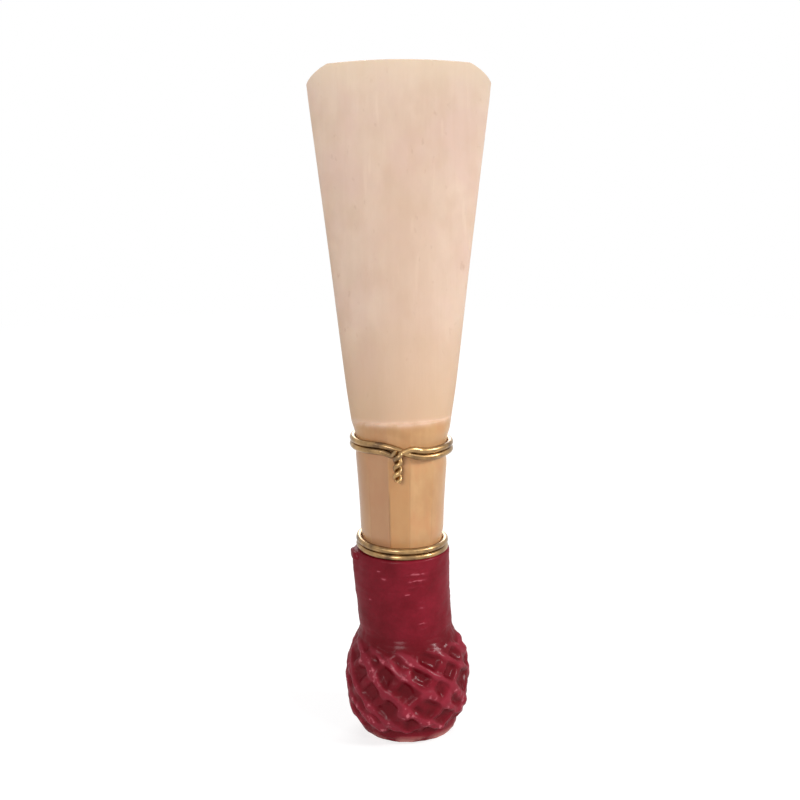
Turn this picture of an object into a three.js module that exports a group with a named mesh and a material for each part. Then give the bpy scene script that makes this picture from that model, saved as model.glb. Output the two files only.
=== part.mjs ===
// Bassoon reed at real size, in millimetres: two halves of cane, three brass wires and a thread turban.
// +Z runs from the butt to the tip, +X across the blades, and -Y is the front, where the first wire is
// twisted. The origin is the middle of the butt's end face, on which the reed stands.

import * as THREE from "three";

// Lengths along the reed
const tubeLength = 28;
const bladeLength = 30;
const collarToFirstWire = 1.8;
const firstToSecondWire = 8.85;
const buttToThirdWire = 4.7;

// Outside of the bark covered tube
const buttDiameter = 7.1;
const secondWireWidth = 7.1;
const secondWireDepth = 7.1;
const firstWireWidth = 7.95;
const firstWireDepth = 6.7;
const collarWidth = 8.5;
const collarDepth = 6.3;
const caneWall = 1.1;
const buttChamfer = 0.25;

// Scraped blades
const collarStep = 0.3;
const collarRamp = 0.15;
const collarArch = 0.35;
const collarArchFade = 3;
const midBladeWidth = 11.9;
const tipWidth = 14.9;
const tipWall = 0.2;
const tipOpening = 1;
const tipLand = 0.3;
const tipCornerWidth = 1.25;
const tipCornerHeight = 2;
const tipArch = 0.3;
const tipRowsHeight = 1;

// Scores cut along the bark so that the cane folds round
const scoreDepth = 0.13;
const scoreWidth = 0.22;
const scoreFade = 2.5;

// Brass wires
const wireDiameter = 0.55;
const wireSeatDepth = 0.2;
const wireSeatRamp = 0.15;
const wireSeatMargin = 0.1;
const wireTwistLength = 2.1;
const wireTwistLead = 3.3;
const wireTailLength = 0.7;

// Thread: a round one on the neck, flattened strands in the turban
const threadDiameter = 0.45;
const strandWidth = 0.8;
const strandHeight = 0.32;
const turnGap = 0.46;
const seatClearance = 0.08;

// Thread turban over the third wire: heights, and how far it stands out from the tube
const turbanBottom = 0.75;
const turbanBelly = 4.7;
const turbanTop = 9.1;
const turbanBottomThickness = 0.9;
const turbanThickness = 1.95;
const turbanTopThickness = 0.7;
const turbanCoreWall = 0.15;
const latticeMargin = 0.15;

// Knot that finishes the winding
const knotWidth = 1.3;
const knotHeight = 0.9;
const knotThickness = 0.7;

// Counts, angles and shape numbers
const scoreDegrees = [-47.5, -17, 13.5, 44];
const widestColumnDegrees = 16;
const tipSectionPower = 1.6;
const openingPower = 1.2;
const cornerPower = 1.8;
const turbanRoundPower = 2.2;
const loopSteps = 24;
const roundSides = 6;
const wireTurns = 2;
const wireLeadShare = 0.09;
const twistSteps = 7;
const leadSteps = 5;
const latticeCycles = 11;
const latticeTurns = 6;
const latticePassSteps = 8;
const turnRoundShare = 0.45;
const layerChangeShare = 0.11;
const latticeStartShare = 0.14;
const latticeEndShare = 0.2;
const coreSides = 28;
const coreRows = 9;
const bladeRows = 9;
const tipRows = 4;
const knotDegrees = 190;
const knotSides = 12;
const knotRings = 8;
const gapSamples = 4;
const gapReach = 3;

// Heights and sizes worked out from the ones above
const reedLength = tubeLength + bladeLength;
const firstWireHeight = tubeLength - collarToFirstWire;
const secondWireHeight = firstWireHeight - firstToSecondWire;
const midBladeHeight = tubeLength + bladeLength / 2;
const tipShoulder = reedLength - tipCornerHeight;
const tipRowsStart = tipShoulder - tipRowsHeight;
const wirePitch = wireDiameter + turnGap;
const wireSeatHalf = wirePitch * wireTurns / 2 + wireDiameter / 2 + wireSeatMargin;
const threadPitch = threadDiameter + turnGap;
const twistRadius = wirePitch / 2;

// Materials
const caneMaterial = new THREE.MeshStandardMaterial({ color: 0xe6c9a0, roughness: 0.55, metalness: 0 });
const brassMaterial = new THREE.MeshStandardMaterial({ color: 0xb08a3c, roughness: 0.32, metalness: 1 });
const threadMaterial = new THREE.MeshStandardMaterial({ color: 0x8c1030, roughness: 0.35, metalness: 0 });

// A curve through [place, value] stations that never overshoots them and runs straight on past its ends.
function smoothCurve(stations) {
  const last = stations.length - 1;
  const slopes = stations.slice(1).map(([place, value], k) =>
    (value - stations[k][1]) / (place - stations[k][0]));
  const tangents = stations.map((_, k) => {
    if (k === 0) return slopes[0];
    if (k === last) return slopes[last - 1];
    const product = slopes[k - 1] * slopes[k];
    return product > 0 ? 2 * product / (slopes[k - 1] + slopes[k]) : 0;
  });
  return (place) => {
    if (place <= stations[0][0]) return stations[0][1] + tangents[0] * (place - stations[0][0]);
    if (place >= stations[last][0]) return stations[last][1] + tangents[last] * (place - stations[last][0]);
    const k = stations.findIndex((_, n) => place < stations[n + 1][0]);
    const span = stations[k + 1][0] - stations[k][0];
    const t = (place - stations[k][0]) / span;
    const bend = tangents[k] * t * (1 - t) ** 2 - tangents[k + 1] * t * t * (1 - t);
    return THREE.MathUtils.lerp(stations[k][1], stations[k + 1][1], t * t * (3 - 2 * t)) + span * bend;
  };
}

// Half sizes of the reed's outline: width at any height, depth of the bark up to the collar
const halfWidthAt = smoothCurve([
  [0, buttDiameter / 2],
  [secondWireHeight, secondWireWidth / 2],
  [firstWireHeight, firstWireWidth / 2],
  [tubeLength, collarWidth / 2],
  [midBladeHeight, midBladeWidth / 2],
  [tipShoulder, tipWidth / 2],
]);
const barkDepthAt = smoothCurve([
  [0, buttDiameter / 2],
  [secondWireHeight, secondWireDepth / 2],
  [firstWireHeight, firstWireDepth / 2],
  [tubeLength, collarDepth / 2],
]);

// The radius that a round piece needs inside to go over the tube
function tubeRadiusAt(height) {
  return Math.max(halfWidthAt(height), barkDepthAt(height));
}

// How far up the blade a height is, from 0 at the collar to 1 at the tip
function bladeShareAt(height) {
  return THREE.MathUtils.clamp((height - tubeLength) / bladeLength, 0, 1);
}

// Half of the space between the two halves of cane
function openingAt(height) {
  if (height <= tubeLength) return barkDepthAt(height) - caneWall;
  const rest = Math.pow(1 - bladeShareAt(height), openingPower);
  return THREE.MathUtils.lerp(tipOpening / 2, collarDepth / 2 - caneWall, rest);
}

// The end of the blades seen from the front: a slight arch between two rounded corners
function tipHeightAt(x) {
  const arm = tipWidth / 2 - tipCornerWidth;
  const inside = Math.min(Math.abs(x) / arm, 1);
  const beyond = THREE.MathUtils.clamp((Math.abs(x) - arm) / tipCornerWidth, 0, 1);
  const corner = (tipCornerHeight - tipArch) * Math.pow(beyond, cornerPower);
  return reedLength - tipArch * inside * inside - corner;
}

// A cross section of the cane: half sizes outside and inside, the score's depth and where the row lies
function bladeSection(height, edgeHeight = height) {
  const share = bladeShareAt(height);
  const opening = openingAt(height);
  const halfWidth = halfWidthAt(edgeHeight);
  return {
    height, score: 0,
    power: THREE.MathUtils.lerp(1, tipSectionPower, share),
    outer: [halfWidth, opening + THREE.MathUtils.lerp(caneWall - collarStep, tipWall, share)],
    inner: [halfWidth - THREE.MathUtils.lerp(caneWall, tipLand, share), opening],
  };
}

function tubeSection(height, seatHeight = height, seatDepth = 0) {
  const scoreShare = THREE.MathUtils.clamp((tubeLength - height) / scoreFade, 0, 1);
  return {
    height, score: scoreDepth * scoreShare, power: 1,
    outer: [halfWidthAt(seatHeight) - seatDepth, barkDepthAt(seatHeight) - seatDepth],
    inner: [halfWidthAt(height) - caneWall, barkDepthAt(height) - caneWall],
  };
}

// Rows for a shallow seat, pressed into the bark by a wire
function seatSections(wireHeight) {
  return [-1, 1].flatMap((side) => {
    const edge = wireHeight + side * wireSeatHalf;
    const pair = [tubeSection(edge + side * wireSeatRamp), tubeSection(edge, wireHeight, wireSeatDepth)];
    return side < 0 ? pair : pair.reverse();
  });
}

function buttSection() {
  const section = tubeSection(0);
  return { ...section, outer: section.outer.map((size) => size - buttChamfer) };
}

// All rows from the butt to the tip. Tip rows carry the share of the way to the tip's own outline.
function caneSections() {
  const turbanToNeck = (turbanTop + secondWireHeight) / 2;
  const tubeMiddle = (firstWireHeight + secondWireHeight) / 2;
  const sections = [
    buttSection(), tubeSection(buttChamfer), ...seatSections(buttToThirdWire),
    tubeSection(turbanTop), tubeSection(turbanToNeck), ...seatSections(secondWireHeight),
    tubeSection(tubeMiddle), ...seatSections(firstWireHeight), tubeSection(tubeLength),
  ];
  for (let k = 0; k <= bladeRows; k++) {
    const start = tubeLength + collarRamp;
    sections.push(bladeSection(THREE.MathUtils.lerp(start, tipRowsStart, k / bladeRows)));
  }
  for (let k = 1; k <= tipRows; k++) {
    const share = k / tipRows;
    const height = THREE.MathUtils.lerp(tipRowsStart, reedLength, share);
    const edgeHeight = THREE.MathUtils.lerp(tipRowsStart, tipShoulder, share);
    sections.push({ ...bladeSection(height, edgeHeight), tipShare: share });
  }
  return sections;
}

// Columns round the front half, from the +X seam at 0 to the -X seam at a half turn. A score has three.
function caneColumns() {
  const halfScore = scoreWidth / buttDiameter;
  const scores = scoreDegrees.map((degrees) => THREE.MathUtils.degToRad(90 - degrees)).sort((a, b) => a - b);
  const stops = [0, ...scores.flatMap((angle) => [angle - halfScore, angle, angle + halfScore]), Math.PI];
  const widest = THREE.MathUtils.degToRad(widestColumnDegrees);
  const columns = [{ angle: 0, scored: 0 }];
  for (let k = 1; k < stops.length; k++) {
    const parts = Math.ceil((stops[k] - stops[k - 1]) / widest);
    for (let n = 1; n <= parts; n++) {
      const angle = THREE.MathUtils.lerp(stops[k - 1], stops[k], n / parts);
      columns.push({ angle, scored: scores.includes(angle) ? 1 : 0 });
    }
  }
  return columns;
}

function canePoint(section, [halfWidth, halfDepth], column, scoreCut) {
  const onSeam = column.angle === 0 || column.angle === Math.PI;
  const across = Math.cos(column.angle);
  const bulge = onSeam ? 0 : Math.sin(column.angle);
  const x = halfWidth * across;
  const y = -(halfDepth - scoreCut * column.scored) * Math.pow(bulge, section.power);
  const archFade = Math.max(0, 1 - Math.abs(section.height - tubeLength) / collarArchFade);
  let z = section.height + collarArch * bulge * bulge * archFade;
  if (section.tipShare) z = THREE.MathUtils.lerp(tipRowsStart, tipHeightAt(x), section.tipShare);
  return new THREE.Vector3(x, y, z);
}

// A closed solid from loops of points that all have the same length. Each end is closed by its own strips.
function solidFromLoops(loops, capPairs) {
  const size = loops[0].length;
  const positions = loops.flat().flatMap((point) => point.toArray());
  const indices = [];
  const addQuad = (a, b, c, d) => indices.push(a, b, c, a, c, d);
  for (let row = 0; row + 1 < loops.length; row++) {
    for (let k = 0; k < size; k++) {
      const next = (k + 1) % size;
      addQuad(row * size + k, row * size + next, (row + 1) * size + next, (row + 1) * size + k);
    }
  }
  const top = (loops.length - 1) * size;
  for (const [a, b, c, d] of capPairs) {
    addQuad(d, c, b, a);
    addQuad(top + a, top + b, top + c, top + d);
  }
  const geometry = new THREE.BufferGeometry();
  geometry.setAttribute("position", new THREE.Float32BufferAttribute(positions, 3));
  geometry.setIndex(indices.filter((_, k) => {
    const start = k - k % 3;
    return new Set(indices.slice(start, start + 3)).size === 3;
  }));
  geometry.computeVertexNormals();
  return geometry;
}

function makeCaneHalf() {
  const columns = caneColumns();
  const loops = caneSections().map((section) => [
    ...columns.map((column) => canePoint(section, section.inner, column, 0)),
    ...columns.map((column) => canePoint(section, section.outer, column, section.score)).reverse(),
  ]);
  const last = 2 * columns.length - 1;
  const caps = columns.slice(1).map((_, k) => [k, k + 1, last - k - 1, last - k]);
  return solidFromLoops(loops, caps);
}

// Rings of a round tube along a list of points, turned as little as possible from one to the next
function roundRings(points, diameter) {
  const side = new THREE.Vector3(points[0].x, points[0].y, 0);
  return points.map((point, k) => {
    const before = points[Math.max(k - 1, 0)];
    const after = points[Math.min(k + 1, points.length - 1)];
    const along = after.clone().sub(before).normalize();
    side.addScaledVector(along, -side.dot(along)).normalize();
    return sectionRing(point, along, side, diameter, diameter);
  });
}

function sectionRing(centre, along, outward, height, width) {
  const across = along.clone().cross(outward);
  return Array.from({ length: roundSides }, (_, k) => {
    const angle = 2 * Math.PI * k / roundSides;
    return centre.clone()
      .addScaledVector(outward, height / 2 * Math.cos(angle))
      .addScaledVector(across, width / 2 * Math.sin(angle));
  });
}

function tubeFromRings(rings) {
  const caps = [];
  for (let k = 1; k + 2 < roundSides; k += 2) caps.push([0, k, k + 1, k + 2]);
  return solidFromLoops(rings, caps);
}

// Prints the least gap between stretches of one tube that lie further apart along it than they are thick
function printLeastGap(name, rings, thickness) {
  const points = [];
  let travelled = 0;
  for (let k = 0; k + 1 < rings.length; k++) {
    const step = rings[k][0].distanceTo(rings[k + 1][0]);
    for (let n = 0; n < gapSamples; n++) {
      const share = n / gapSamples;
      for (let side = 0; side < roundSides; side++) {
        const nextSide = (side + 1) % roundSides;
        const edge = rings[k][side].clone().lerp(rings[k + 1][side], share);
        const nextEdge = rings[k][nextSide].clone().lerp(rings[k + 1][nextSide], share);
        points.push({ at: edge, along: travelled + step * share });
        points.push({ at: edge.clone().lerp(nextEdge, 1 / 2), along: travelled + step * share });
      }
    }
    travelled += step;
  }
  let least = Infinity;
  for (let a = 0; a < points.length; a++) {
    for (let b = a + 1; b < points.length; b++) {
      if (points[b].along - points[a].along < gapReach * thickness) continue;
      least = Math.min(least, points[a].at.distanceToSquared(points[b].at));
    }
  }
  console.log(`${name}: least gap to itself ${Math.sqrt(least).toFixed(2)} mm`);
}

// A point on a wire's turns, in the frame of its seat, whose middle is at height 0. It starts at the front.
function wireTurnPoint(wireHeight, turns) {
  const outside = seatClearance + wireDiameter / 2 - wireSeatDepth;
  const angle = 2 * Math.PI * turns - Math.PI / 2;
  return new THREE.Vector3(
    (halfWidthAt(wireHeight) + outside) * Math.cos(angle),
    (barkDepthAt(wireHeight) + outside) * Math.sin(angle),
    (turns - wireTurns / 2) * wirePitch,
  );
}

function wireTurnPoints(wireHeight, firstTurn, lastTurn) {
  const steps = Math.round((lastTurn - firstTurn) * loopSteps);
  return Array.from({ length: steps + 1 }, (_, k) =>
    wireTurnPoint(wireHeight, THREE.MathUtils.lerp(firstTurn, lastTurn, k / steps)));
}

// A point on one of the two strands of the twist that hangs from a wire's front, over bark of a given depth.
// The strand with sign 1 starts next to the bark, and the one with sign -1 outside it.
function twistPoint(barkDepth, share, sign) {
  const top = -wirePitch * wireTurns / 2 - wireDiameter;
  const phase = 2 * Math.PI * share * wireTwistLength / wireTwistLead;
  const axis = -(barkDepth + seatClearance + wireDiameter / 2 + twistRadius);
  return new THREE.Vector3(
    sign * twistRadius * Math.sin(phase),
    axis + sign * twistRadius * Math.cos(phase),
    top - wireTwistLength * share,
  );
}

function twistPoints(barkDepth, sign) {
  return Array.from({ length: twistSteps + 1 }, (_, k) => twistPoint(barkDepth, k / twistSteps, sign));
}

// The wire comes up out of the twist, goes round and crosses over itself back into the twist.
function twistedWirePoints(wireHeight, barkDepth) {
  const firstStrand = twistPoints(barkDepth, 1).reverse();
  const lastStrand = twistPoints(barkDepth, -1);
  const turns = wireTurnPoints(wireHeight, wireLeadShare, wireTurns - wireLeadShare);
  const crossing = new THREE.Vector3(lastStrand[0].x, lastStrand[0].y, wirePitch / 2);
  const start = new THREE.CatmullRomCurve3([...firstStrand.slice(-2), ...turns.slice(0, 2)]);
  const finish = new THREE.CatmullRomCurve3([...turns.slice(-2), crossing, ...lastStrand.slice(0, 2)]);
  const between = (curve, from, to, steps) => Array.from({ length: steps - 1 }, (_, k) =>
    curve.getPoint(THREE.MathUtils.lerp(from, to, (k + 1) / steps)));
  return [
    ...firstStrand, ...between(start, 1 / 3, 2 / 3, leadSteps),
    ...turns, ...between(finish, 1 / 4, 3 / 4, 2 * leadSteps), ...lastStrand,
  ];
}

// Under the turban a standing twist has no room, so the ends of this wire lie flat, a tail further round.
function flatEndedWirePoints(wireHeight) {
  const tailTurns = wireTailLength / (2 * Math.PI * tubeRadiusAt(wireHeight));
  return wireTurnPoints(wireHeight, -tailTurns, wireTurns + tailTurns);
}

function makeWire(name, points) {
  const rings = roundRings(points, wireDiameter);
  printLeastGap(name, rings, wireDiameter);
  return tubeFromRings(rings);
}

// Outer radius of the turban's ribs: a barrel that narrows to both ends
function turbanRadiusAt(height) {
  const below = height < turbanBelly;
  const end = below ? turbanBottom : turbanTop;
  const endThickness = below ? turbanBottomThickness : turbanTopThickness;
  const share = Math.pow((height - turbanBelly) / (end - turbanBelly), turbanRoundPower);
  return tubeRadiusAt(height) + THREE.MathUtils.lerp(turbanThickness, endThickness, share);
}

// Outer radius of the built up thread under the ribs. It has a wall outside the tube and the third wire.
const thirdWireGroove = tubeRadiusAt(buttToThirdWire) + 2 * seatClearance + wireDiameter - wireSeatDepth;

function turbanCoreRadiusAt(height) {
  const underRibs = turbanRadiusAt(height) - 2 * strandHeight - turnGap - seatClearance;
  const overWire = Math.abs(height - buttToThirdWire) <= wireSeatHalf;
  const inside = overWire ? thirdWireGroove : tubeRadiusAt(height) + seatClearance;
  return Math.max(underRibs, inside + turbanCoreWall);
}

function makeTurbanCore() {
  const grooveBottom = buttToThirdWire - wireSeatHalf;
  const grooveTop = buttToThirdWire + wireSeatHalf;
  const profile = [
    [tubeRadiusAt(turbanBottom) + seatClearance, turbanBottom],
    [tubeRadiusAt(grooveBottom) + seatClearance, grooveBottom],
    [thirdWireGroove, grooveBottom],
    [thirdWireGroove, grooveTop],
    [tubeRadiusAt(grooveTop) + seatClearance, grooveTop],
    [tubeRadiusAt(turbanTop) + seatClearance, turbanTop],
  ];
  for (let k = 0; k <= coreRows; k++) {
    const height = THREE.MathUtils.lerp(turbanTop, turbanBottom, k / coreRows);
    profile.push([turbanCoreRadiusAt(height), height]);
  }
  profile.push(profile[0]);
  const outline = profile.map(([radius, height]) => new THREE.Vector2(radius, height)).reverse();
  return new THREE.LatheGeometry(outline, coreSides).rotateX(Math.PI / 2);
}

// The way out of the turban's outline at a height, as shares of the way out from the axis and of the way up
function turbanNormalAt(height) {
  const rise = turbanRadiusAt(height + latticeMargin) - turbanRadiusAt(height - latticeMargin);
  const slope = rise / (2 * latticeMargin);
  return new THREE.Vector2(1, -slope).normalize();
}

// Where the crossing strand lies after a number of passes up and down: even passes climb inside, odd ones
// come down outside, and it changes layer round each turn at the ends.
function latticeCentre(pass) {
  const whole = Math.floor(pass);
  const share = pass - whole;
  const climbing = whole % 2 === 0;
  const progress = climbing ? share : 1 - share;
  const eased = (1 - Math.cos(Math.PI * progress)) / 2;
  const bottom = turbanBottom + latticeMargin + strandWidth / 2;
  const top = turbanTop - latticeMargin - strandWidth / 2;
  const height = THREE.MathUtils.lerp(bottom, top, THREE.MathUtils.lerp(progress, eased, turnRoundShare));
  const toTurn = Math.min(share, 1 - share);
  const settled = THREE.MathUtils.smoothstep(toTurn, -layerChangeShare, layerChangeShare);
  const inside = climbing ? settled : 1 - settled;
  const depth = strandHeight / 2 + (strandHeight + turnGap) * inside;
  const normal = turbanNormalAt(height);
  const seat = turbanCoreRadiusAt(height) + seatClearance + strandHeight / 2;
  const radius = Math.max(turbanRadiusAt(height) - depth * normal.x, seat);
  const angle = Math.PI * pass * latticeTurns / latticeCycles;
  return {
    centre: new THREE.Vector3(radius * Math.cos(angle), radius * Math.sin(angle), height - depth * normal.y),
    outward: new THREE.Vector3(normal.x * Math.cos(angle), normal.x * Math.sin(angle), normal.y),
  };
}

function makeTurbanLattice(name) {
  const lastPass = 2 * latticeCycles - latticeEndShare;
  const steps = Math.round((lastPass - latticeStartShare) * latticePassSteps);
  const nudge = 1 / (gapSamples * latticePassSteps);
  const rings = Array.from({ length: steps + 1 }, (_, k) => {
    const pass = THREE.MathUtils.lerp(latticeStartShare, lastPass, k / steps);
    const { centre, outward } = latticeCentre(pass);
    const along = latticeCentre(pass + nudge).centre.sub(latticeCentre(pass - nudge).centre).normalize();
    outward.addScaledVector(along, -outward.dot(along)).normalize();
    return sectionRing(centre, along, outward, strandHeight, strandWidth);
  });
  printLeastGap(name, rings, strandWidth);
  return tubeFromRings(rings);
}

// Close thread on the neck between the turban and the second wire. It ends at the knot.
const neckBottom = turbanTop + seatClearance + threadDiameter / 2;
const neckTop = secondWireHeight - wirePitch * wireTurns / 2 - wireDiameter / 2 - threadDiameter / 2;
const knotAngle = THREE.MathUtils.degToRad(knotDegrees);
const neckTopRadius = tubeRadiusAt(neckTop) + seatClearance + threadDiameter / 2;
const neckEndAngle = knotAngle - (knotWidth / 2 + seatClearance) / neckTopRadius;

// A point that stands off the bark by a distance, at an angle round the tube
function offBark(angle, height, distance) {
  return new THREE.Vector3(
    (halfWidthAt(height) + distance) * Math.cos(angle),
    (barkDepthAt(height) + distance) * Math.sin(angle),
    height,
  );
}

function makeNeckWinding(name) {
  const turns = (neckTop - neckBottom) / threadPitch;
  const steps = Math.round(turns * loopSteps);
  const points = Array.from({ length: steps + 1 }, (_, k) => {
    const angle = neckEndAngle - 2 * Math.PI * turns * (1 - k / steps);
    const height = THREE.MathUtils.lerp(neckBottom, neckTop, k / steps);
    return offBark(angle, height, seatClearance + threadDiameter / 2);
  });
  const rings = roundRings(points, threadDiameter);
  printLeastGap(name, rings, threadDiameter);
  return tubeFromRings(rings);
}

function makeKnot() {
  return new THREE.SphereGeometry(1, knotSides, knotRings)
    .scale(knotThickness / 2, knotWidth / 2, knotHeight / 2);
}

function addPiece(group, name, geometry, material) {
  const mesh = new THREE.Mesh(geometry, material.clone());
  mesh.name = name;
  group.add(mesh);
  return mesh;
}

function addCane(reed) {
  const half = makeCaneHalf();
  addPiece(reed, "front_cane", half, caneMaterial);
  addPiece(reed, "back_cane", half, caneMaterial).rotation.z = Math.PI;
}

// The first wire's twist hangs at the front. The second wire is the same turned over, so its twist is at
// the back and lies up the tube, clear of the thread.
function addWires(reed) {
  const twistFoot = firstWireHeight - wirePitch * wireTurns / 2 - wireDiameter - wireTwistLength;
  const firstPoints = twistedWirePoints(firstWireHeight, barkDepthAt(twistFoot));
  const secondPoints = twistedWirePoints(secondWireHeight, barkDepthAt(secondWireHeight));
  const thirdPoints = flatEndedWirePoints(buttToThirdWire);
  const first = addPiece(reed, "first_wire", makeWire("first_wire", firstPoints), brassMaterial);
  const second = addPiece(reed, "second_wire", makeWire("second_wire", secondPoints), brassMaterial);
  const third = addPiece(reed, "third_wire", makeWire("third_wire", thirdPoints), brassMaterial);
  first.position.z = firstWireHeight;
  second.position.z = secondWireHeight;
  second.rotation.x = Math.PI;
  third.position.z = buttToThirdWire;
}

function addThread(reed) {
  addPiece(reed, "turban_core", makeTurbanCore(), threadMaterial);
  addPiece(reed, "turban_lattice", makeTurbanLattice("turban_lattice"), threadMaterial);
  addPiece(reed, "neck_winding", makeNeckWinding("neck_winding"), threadMaterial);
  const knot = addPiece(reed, "finishing_knot", makeKnot(), threadMaterial);
  knot.position.copy(offBark(knotAngle, neckTop, seatClearance + knotThickness / 2));
  knot.rotation.z = knotAngle;
}

const reed = new THREE.Group();
addCane(reed);
addWires(reed);
addThread(reed);

export default reed;
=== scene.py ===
# Bassoon reed: fine cane, brass wires and lacquered thread around the frame's solids, in metres.
# +Z runs from the butt to the tip, +X across the blades, and -Y is the front, as in the frame.

import math

import bmesh
import bpy
import numpy as np
from mathutils import Matrix, Vector

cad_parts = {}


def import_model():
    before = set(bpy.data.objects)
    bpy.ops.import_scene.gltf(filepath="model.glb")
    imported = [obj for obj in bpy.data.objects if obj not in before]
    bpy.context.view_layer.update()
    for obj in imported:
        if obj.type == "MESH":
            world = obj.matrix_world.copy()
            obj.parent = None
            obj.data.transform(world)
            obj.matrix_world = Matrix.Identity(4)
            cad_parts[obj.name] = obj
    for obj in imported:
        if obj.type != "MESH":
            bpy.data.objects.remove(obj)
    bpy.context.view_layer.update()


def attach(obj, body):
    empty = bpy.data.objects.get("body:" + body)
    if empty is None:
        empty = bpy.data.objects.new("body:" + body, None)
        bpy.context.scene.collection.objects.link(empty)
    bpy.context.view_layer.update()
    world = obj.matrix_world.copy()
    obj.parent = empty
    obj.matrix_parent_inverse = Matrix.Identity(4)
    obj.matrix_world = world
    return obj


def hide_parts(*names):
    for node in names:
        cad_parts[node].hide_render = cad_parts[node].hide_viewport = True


MM = 0.001

# Lengths along the reed, and the sizes of its outline
TUBE_LENGTH = 28 * MM
BLADE_LENGTH = 30 * MM
COLLAR_TO_FIRST_WIRE = 1.8 * MM
FIRST_TO_SECOND_WIRE = 8.85 * MM
BUTT_TO_THIRD_WIRE = 4.7 * MM
BUTT_DIAMETER = 7.1 * MM
SECOND_WIRE_SIZE = (7.1 * MM, 7.1 * MM)
FIRST_WIRE_SIZE = (7.95 * MM, 6.7 * MM)
COLLAR_SIZE = (8.5 * MM, 6.3 * MM)
CANE_WALL = 1.1 * MM
BUTT_CHAMFER = 0.25 * MM
COLLAR_STEP = 0.3 * MM
COLLAR_RAMP = 0.22 * MM
COLLAR_RISE = 0.36 * MM
COLLAR_ARCH = 0.1 * MM
COLLAR_ARCH_FADE = 3 * MM
COLLAR_TILT_SHARE = 0.026
MID_BLADE_WIDTH = 11.9 * MM
TIP_WIDTH = 14.9 * MM
TIP_WALL = 0.2 * MM
TIP_OPENING = 1 * MM
TIP_LAND = 0.3 * MM
TIP_CORNER_WIDTH = 1.7 * MM
TIP_CORNER_HEIGHT = 2.1 * MM
TIP_ARCH = 0.3 * MM
TIP_ROWS_HEIGHT = 1 * MM
TIP_SECTION_POWER = 1.6
OPENING_POWER = 1.2
CORNER_ROUND_SHARE = 0.5
SEAM_DEPTH = 0.05 * MM
SEAM_HALF_WIDTH = 0.1 * MM

# Scores in the bark: degrees from the front, the height at which each one fades out, and its depth
SCORES = [
    (-47.5, 24 * MM, 0.015 * MM), (-17, 23.2 * MM, 0.06 * MM),
    (10.5, 25.6 * MM, 0.025 * MM), (44, 22 * MM, 0.015 * MM),
]
SCORE_HALF_WIDTH = 0.1 * MM
# The cut depth at which the painted shade in the score grooves and the seam's hollow is at its darkest.
SCORE_SHADE_FULL_DEPTH = 0.06 * MM
SCORE_FADE = 1.5 * MM
FACET_FADE = 3 * MM

# Tones of the strips of bark between the scores, from right to left, which fade over the first wire. They are
# partly the strips' own tones and partly painted shade: the darker, pinker strips on the left stand for the
# side turned from the key lamp.
STRIP_TONES_AND_SHADE = (0.1, 0, -0.6, 0.8, 0.45)
STRIP_EDGE_RADIANS = 0.05
STRIP_FADE_SHARE = 0.65
STRIP_FADE_HEIGHT = 0.12 * MM

# Brass wires. The first one hangs lower on the right.
WIRE_DIAMETER = 0.55 * MM
WIRE_SUNK = 0.12 * MM
SEAT_RAMP = 0.9 * MM
TWIST_LENGTH = 2.6 * MM
TWIST_LEAD = 1.5 * MM
TWIST_RADIUS = 0.2 * MM
TWIST_STRAND_DIAMETER = 0.44 * MM
TWIST_PLACE = -0.3 * MM
TWIST_LEAN = -0.05 * MM
TWIST_SETTLE_SHARE = 0.45
FIRST_WIRE_LIFT = 0.12 * MM
FIRST_WIRE_SWING = 0.75 * MM
FIRST_WIRE_SWING_DEGREES = 40
FIRST_WIRE_TILT_SHARE = -0.09
LEAD_TURN = 0.06
LEAD_LIFT = 0.24 * MM
THIRD_WIRE_TAIL_TURNS = 0.03

# Thread under lacquer: the neck
NECK_RADIUS = 4.06 * MM
NECK_BOTTOM = 9.3 * MM
NECK_TOP = 16.85 * MM
NECK_TOP_ROUND = 0.2 * MM
NECK_FOOT = 10.3 * MM
NECK_FOOT_SINK = 0.12 * MM
NECK_PITCH = 0.65 * MM
NECK_WANDER_TURNS = 0.12
NECK_RIDGE = 0.013 * MM
NECK_RIDGE_LEAST_SHARE = 0.25
NECK_SWELL = 0.011 * MM

# Places where the neck's lacquer is worn off the thread: degrees from the front, height and radius.
# There the turns stand out more, and pale dashes are painted along their crests as painted highlights.
NECK_WORN_AND_HIGHLIGHT_SPOTS = [
    (17, 15.3 * MM, 0.95 * MM), (-30, 15.9 * MM, 0.25 * MM), (-23, 15.3 * MM, 0.3 * MM),
    (-15, 14 * MM, 0.25 * MM), (6, 13.8 * MM, 0.3 * MM), (23, 12.8 * MM, 0.35 * MM),
    (-44, 12.9 * MM, 0.3 * MM), (22, 11 * MM, 0.4 * MM), (95, 12.4 * MM, 0.6 * MM),
    (150, 13.6 * MM, 0.9 * MM), (-120, 15 * MM, 0.7 * MM),
]
NECK_SPOT_POWER = 4
NECK_WORN_RIDGE = 0.03 * MM
NECK_HIGHLIGHT_SHARE = 0.8
NECK_CREST_POWER = 3
NECK_DASH_SHARE = 0.6
NECK_DASH_FLATNESS = 2

# The turban: its outline as heights and thicknesses over the tube, and its lean to the right
TURBAN_BOTTOM = 0.06 * MM
TURBAN_BELLY = 4.7 * MM
TURBAN_SHOULDER = 9.1 * MM
TURBAN_TOP = 10.6 * MM
TURBAN_THICKNESS = 1.97 * MM
TURBAN_END_THICKNESS = (0.44 * MM, 0.7 * MM)
TURBAN_OVER_NECK = 0.02 * MM
TURBAN_FILLET = 0.9 * MM
TURBAN_FILLET_SHARPNESS = 6
TURBAN_ROUND_POWER = 2.2
TURBAN_LEAN = 0.4 * MM
LEAN_FROM = 7 * MM
LEAN_TO = 14 * MM
THREAD_OFF_TUBE = 0.03 * MM

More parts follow.
